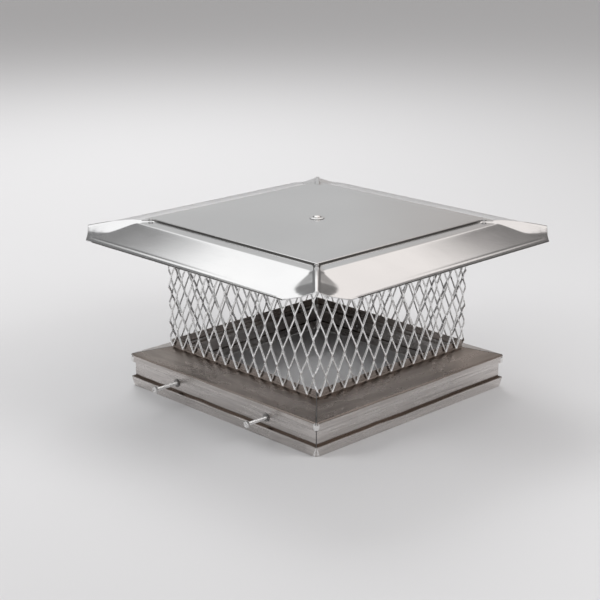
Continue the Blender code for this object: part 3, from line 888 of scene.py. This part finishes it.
# A clamp screw's head, six-sided in some of its rows, and the ringed sleeve round its thread, as (radius, z)
HALF_FLATS = SCREW_FLATS / 2
SCREW_HEAD_OUTLINE = (
    (0, 0), (SCREW_R, 0), (HALF_FLATS * 0.94, 0), (HALF_FLATS, 0.0003), (HALF_FLATS, 0.0024),
    (HALF_FLATS * 0.95, 0.0029), (HALF_FLATS * 0.86, SCREW_HEAD), (HALF_FLATS * 0.62, SCREW_HEAD),
    (HALF_FLATS * 0.52, SCREW_HEAD - 0.0003), (HALF_FLATS * 0.40, SCREW_HEAD - 0.0007),
    (0, SCREW_HEAD - 0.0008),
)
SCREW_HEXAGON_ROWS = range(2, 6)
SCREW_THREAD_END = -0.0004
SLEEVE_FOOT = -SHEET - NUT_INSIDE
SLEEVE_BORE_R = 0.00255
SLEEVE_OUTLINE = (
    (SLEEVE_BORE_R, SLEEVE_FOOT), (0.0034, SLEEVE_FOOT), (0.0036, SLEEVE_FOOT + 0.0003), (0.0036, 0.0002),
    (0.0040, GAP), (0.0050, GAP), (0.0052, GAP + 0.0003), (0.0051, GAP + 0.0008), (0.0047, GAP + 0.0010),
    (0.0031, GAP + 0.0010), (SLEEVE_BORE_R, GAP + 0.0007), (SLEEVE_BORE_R, SLEEVE_FOOT),
)

# The lid's washer, as (radius, z), and the bands of faces at its rim, painted darker as shade; the bolt's
# dome and thread; the nut
WASHER_OUTLINE = (
    (BOLT_HOLE_R, 0), (WASHER_R - 0.0003, 0), (WASHER_R, 0.0001), (WASHER_R - 0.0003, 0.0003),
    (WASHER_R - 0.0011, 0.0003), (DOME_R + 0.0002, 0.00105), (DOME_R - 0.0003, WASHER_MIDDLE),
    (BOLT_HOLE_R, WASHER_MIDDLE), (BOLT_HOLE_R, 0),
)
WASHER_RIM_BANDS = (1, 4)
DOME_DEGREES = range(12, 84, 12)
DOME_FOOT = 0.0002
BOLT_THREAD_END = -0.0002
NUT_CHAMFER = 0.0004
NUT_CHAMFER_SHARE = 0.88
NUT_HEXAGON_ROWS = (2, 3)


def hexagon(turn):
    """How many times as far a six-sided outline reaches there as the circle inside it."""
    sector = (turn + math.pi / 6) % (math.pi / 3) - math.pi / 6
    return 1 / math.cos(sector)


def threaded(radius, low, high):
    """Outline rows of a thread from low to high, and the scale of each of their points."""
    steps = int(round((high - low) / THREAD_PITCH * THREAD_ROWS_A_TURN))
    rows = [(radius, low + (high - low) * k / steps) for k in range(steps + 1)]

    def reach(turn, row):
        z = rows[row][1]
        phase = (z / THREAD_PITCH + turn / (2 * math.pi)) % 1.0
        ease = min((z - low) / THREAD_PITCH, 1.0)
        return 1 - THREAD_DEPTH / radius * (1 - abs(2 * phase - 1)) - THREAD_POINT * (1 - ease)
    return rows, reach


def build_screw(clamp):
    name, along, side, out = clamp
    rows, reach = threaded(SCREW_R, -SCREW_LENGTH, SCREW_THREAD_END)
    outline = [(0, -SCREW_LENGTH)] + rows + [(0, SCREW_THREAD_END)]
    last = len(rows) - 1
    points, faces = turned(outline, THREAD_SIDES, lambda turn, row: reach(turn, min(max(row - 1, 0), last)))
    head, head_faces = turned(SCREW_HEAD_OUTLINE, HEAD_SIDES,
                              lambda turn, row: hexagon(turn) if row in SCREW_HEXAGON_ROWS else 1.0)
    faces += moved_faces(head_faces, len(points))
    place = on_wall(along, side, out - SCREW_HEAD)
    mesh_object("screw_" + name, placed(points + head, place), faces, SCREW_STEEL,
                ["clamp_screw_" + name], sharp=35)


def build_sleeve(clamp):
    name, along, side, _ = clamp
    points, faces = turned(SLEEVE_OUTLINE, ROUND_SIDES)
    mesh_object("sleeve_" + name, placed(points, on_wall(along, side, 0.0)), faces, NUT_DARK,
                ["clamp_nut_" + name])


def build_washer(z):
    """A shallow cone under the dome, with painted shade on its rim."""
    points, faces = turned(WASHER_OUTLINE, HEAD_SIDES)
    # The rim's faces are painted darker, as shade round the dome
    rim = range(WASHER_RIM_BANDS[0] * HEAD_SIDES, WASHER_RIM_BANDS[1] * HEAD_SIDES)
    mesh_object("bolt_washer", raised(points, z), faces, WASHER_STEEL, ["lid_washer"],
                painted=[(RING_STEEL_AND_SHADE, rim)])


def build_bolt(z):
    """A domed head over a thread that ends below the nut."""
    tip = STRAPS_FOOT_Z - GAP - LID_NUT - BOLT_PAST_NUT - z
    rows, reach = threaded(BOLT_R, tip, BOLT_THREAD_END)
    dome = [(DOME_R, 0.0), (DOME_R, DOME_FOOT)]
    for degrees in DOME_DEGREES:
        turn = math.radians(degrees)
        dome.append((DOME_R * math.cos(turn), DOME_FOOT + (DOME - DOME_FOOT) * math.sin(turn)))
    outline = [(0, tip)] + rows + dome + [(0, DOME)]

    def bolt_reach(turn, row):
        return reach(turn, row - 1) if 1 <= row <= len(rows) else 1.0
    points, faces = turned(outline, ROUND_SIDES, bolt_reach)
    mesh_object("bolt_dome", raised(points, z), faces, SCREW_STEEL, ["lid_bolt"], sharp=35)


def build_lid_nut(z):
    half = LID_NUT_FLATS / 2
    outline = [
        (BOLT_HOLE_R, -LID_NUT), (half * NUT_CHAMFER_SHARE, -LID_NUT), (half, -LID_NUT + NUT_CHAMFER),
        (half, -NUT_CHAMFER), (half * NUT_CHAMFER_SHARE, 0), (BOLT_HOLE_R, 0), (BOLT_HOLE_R, -LID_NUT),
    ]
    points, faces = turned(outline, HEAD_SIDES,
                           lambda turn, row: hexagon(turn) if row in NUT_HEXAGON_ROWS else 1.0)
    mesh_object("bolt_nut", raised(points, z), faces, SCREW_STEEL, ["lid_nut"], sharp=35)


STRAP_EDGE_R = 0.0003


def dress_straps():
    """The CAD's own straps with a finish and soft edges."""
    for name in ("cross_strap_upper", "cross_strap_lower"):
        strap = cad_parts[name]
        strap.data.materials.clear()
        strap.data.materials.append(STRAP_STEEL)
        bevel = strap.modifiers.new("soft_edges", "BEVEL")
        bevel.width = STRAP_EDGE_R
        bevel.segments = 2
        bevel.limit_method = "ANGLE"


# Studio

FLOOR_HALF = 9.0
FLOOR_Z = -0.0004
FLOOR_PAPER = (0.69, 0.69, 0.70)
FLOOR_ROUGHNESS = 0.9
FLOOR_SPECULAR = 0.1

# The studio as the metal reflects it. Over each corner of the object stands a tall soft light, and all of
# them widen upwards into a bright ceiling; elsewhere it is grey over the corners and dark over the sides.
# Heights are sines of the angle above the horizon, and crosswise is 1 over a corner and 0 over a side.
LIGHT = 1.20
BACKDROP_LIGHT = 0.57
DARK_LIGHT = 0.22
# The crosswise range in which a light begins, and that in which the dark turns into grey
CROSSWISE_EDGE = (0.868, 0.902)
BACKDROP_EDGE = (0.84, 0.93)
# The height at which the lights begin, and by how much the ceiling widens them, by height
LIGHT_FOOT = (0.375, 0.455)
CEILING_OPENS = ((0.50, 0.0), (0.58, 0.04), (0.64, 0.20), (0.70, 0.60), (0.76, 1.0))
# The lights are warmer and weaker on the right-hand side of the picture
RIGHT_TINT = (0.87, 0.825, 0.80)
TINT_EDGE = (0.03, 0.17)
# Keeps the way straight up from a division by zero
TINY = 1e-6
# What the camera itself sees behind the floor
BACKDROP = (0.62, 0.62, 0.63)
# The share of the studio's light that falls on the floor, which the lamps light as well
FLOOR_SHARE = 0.56


def studio_light(tree):
    """The level and the tint of the studio's light by direction."""
    def math_node(operation, a, b=0.0):
        return calc(tree, operation, a, b)

    direction = add_node(tree, "ShaderNodeTexCoord").outputs["Generated"]
    parts = add_node(tree, "ShaderNodeSeparateXYZ", {0: direction}).outputs
    x, y, z = parts["X"], parts["Y"], parts["Z"]
    flat = math_node("ADD", math_node("MULTIPLY", x, x), math_node("MULTIPLY", y, y))
    flat = math_node("MAXIMUM", flat, TINY)
    product = math_node("ABSOLUTE", math_node("MULTIPLY", x, y))
    crosswise = math_node("DIVIDE", math_node("MULTIPLY", product, 2.0), flat)

    opens = ramp(tree, z, [(height, (level,) * 3) for height, level in CEILING_OPENS])
    lit = spread(tree, math_node("ADD", crosswise, opens), 0.0, 1.0, CROSSWISE_EDGE)
    lit = math_node("MULTIPLY", lit, spread(tree, z, 0.0, 1.0, LIGHT_FOOT))
    low = spread(tree, crosswise, DARK_LIGHT, BACKDROP_LIGHT, BACKDROP_EDGE)
    level = math_node("ADD", low, math_node("MULTIPLY", lit, math_node("SUBTRACT", LIGHT, low)))

    rightward = math_node("DIVIDE", math_node("ADD", x, y), math_node("SQRT", flat))
    tint = mixed(tree, spread(tree, rightward, 0.0, 1.0, TINT_EDGE), rgba(WHITE), rgba(RIGHT_TINT))
    return level, tint


def build_world():
    """Soft lights over a grey horizon, as the metal reflects them; plain and pale to the camera."""
    world = bpy.data.worlds.new("studio")
    bpy.context.scene.world = world
    world.use_nodes = True
    tree = world.node_tree
    tree.nodes.clear()
    level, tint = studio_light(tree)
    path = add_node(tree, "ShaderNodeLightPath").outputs
    share = spread(tree, path["Is Diffuse Ray"], 1.0, FLOOR_SHARE, (0.0, 1.0))
    strength = calc(tree, "MULTIPLY", level, share)
    light = add_node(tree, "ShaderNodeBackground", {"Color": tint, "Strength": strength})
    plain = add_node(tree, "ShaderNodeBackground", {"Color": rgba(BACKDROP), "Strength": 1.0})
    mix = add_node(tree, "ShaderNodeMixShader", {
        "Fac": path["Is Camera Ray"], 1: light.outputs["Background"], 2: plain.outputs["Background"],
    })
    add_node(tree, "ShaderNodeOutputWorld", {"Surface": mix.outputs["Shader"]})


def build_floor():
    """A plain pale floor, see-through from below so that the underside can be looked at."""
    mesh = bpy.data.meshes.new("floor")
    corners = [(-1, -1), (1, -1), (1, 1), (-1, 1)]
    mesh.from_pydata([(x * FLOOR_HALF, y * FLOOR_HALF, FLOOR_Z) for x, y in corners], [], [(0, 1, 2, 3)])
    material = bpy.data.materials.new("floor_paper")
    material.use_nodes = True
    tree = material.node_tree
    shader = tree.nodes["Principled BSDF"]
    shader.inputs["Base Color"].default_value = rgba(FLOOR_PAPER)
    shader.inputs["Roughness"].default_value = FLOOR_ROUGHNESS
    shader.inputs["Specular IOR Level"].default_value = FLOOR_SPECULAR
    from_below = add_node(tree, "ShaderNodeNewGeometry").outputs["Backfacing"]
    clear = add_node(tree, "ShaderNodeBsdfTransparent")
    mix = add_node(tree, "ShaderNodeMixShader", {
        "Fac": from_below, 1: shader.outputs["BSDF"], 2: clear.outputs["BSDF"],
    })
    tree.links.new(mix.outputs["Shader"], tree.nodes["Material Output"].inputs["Surface"])
    mesh.materials.append(material)
    floor = bpy.data.objects.new("floor", mesh)
    bpy.context.scene.collection.objects.link(floor)


def looking(place, aim):
    """The frame of a lamp or camera at that place that looks at that point."""
    look = (Vector(aim) - Vector(place)).to_track_quat("-Z", "Y").to_matrix().to_4x4()
    return Matrix.Translation(place) @ look


# Large soft lamps over the floor, behind the object and at both its sides: name, place, aim, side and power
LAMPS = (
    ("back", (-1.60, 0.90, 1.90), (-0.60, 0.30, 0.0), 1.3, 27.0),
    ("left", (-1.00, -1.50, 1.20), (-0.20, -0.40, 0.0), 0.9, 13.0),
    ("right", (1.40, 0.60, 1.20), (0.40, 0.0, 0.0), 0.9, 14.0),
)


def build_lamps():
    """The lamps light the floor; the metal mirrors the world alone."""
    for name, place, aim, side, power in LAMPS:
        data = bpy.data.lights.new("lamp_" + name, "AREA")
        data.shape = "SQUARE"
        data.size = side
        data.energy = power
        lamp = bpy.data.objects.new("lamp_" + name, data)
        bpy.context.scene.collection.objects.link(lamp)
        lamp.visible_camera = False
        lamp.visible_glossy = False
        lamp.matrix_world = looking(place, aim)


# The camera's place, the point in the middle of its picture, its turn about its line of sight, its lens and
# sensor in millimetres, and how far it sees
CAMERA_PLACE = (1.31577, -1.31169, 0.68872)
CAMERA_AIM = (0.83577, -0.84453, 0.48317)
CAMERA_ROLL = math.radians(-0.0863)
CAMERA_LENS = 88.571
CAMERA_SENSOR = 36.0
CAMERA_FAR = 100.0


def build_camera():
    data = bpy.data.cameras.new("camera")
    data.lens = CAMERA_LENS
    data.sensor_width = CAMERA_SENSOR
    data.clip_end = CAMERA_FAR
    camera = bpy.data.objects.new("camera", data)
    bpy.context.scene.collection.objects.link(camera)
    camera.matrix_world = looking(CAMERA_PLACE, CAMERA_AIM) @ Matrix.Rotation(CAMERA_ROLL, 4, "Z")
    bpy.context.scene.camera = camera


def main():
    bpy.context.scene.view_settings.view_transform = "Standard"
    build_camera()
    build_world()
    build_floor()
    build_lamps()
    build_lid()
    build_hip_rings()
    build_screen()
    for side, name in enumerate(("front", "right", "back", "left")):
        build_rail("rail_" + name, side, "base_rail_" + name)
    build_corner_beads()
    for clamp in CLAMPS:
        build_screw(clamp)
        build_sleeve(clamp)
    washer_z = PANEL_MIDDLE_Z + GAP
    build_washer(washer_z)
    build_bolt(washer_z + WASHER_MIDDLE + GAP)
    build_lid_nut(STRAPS_FOOT_Z - GAP)
    dress_straps()


main()
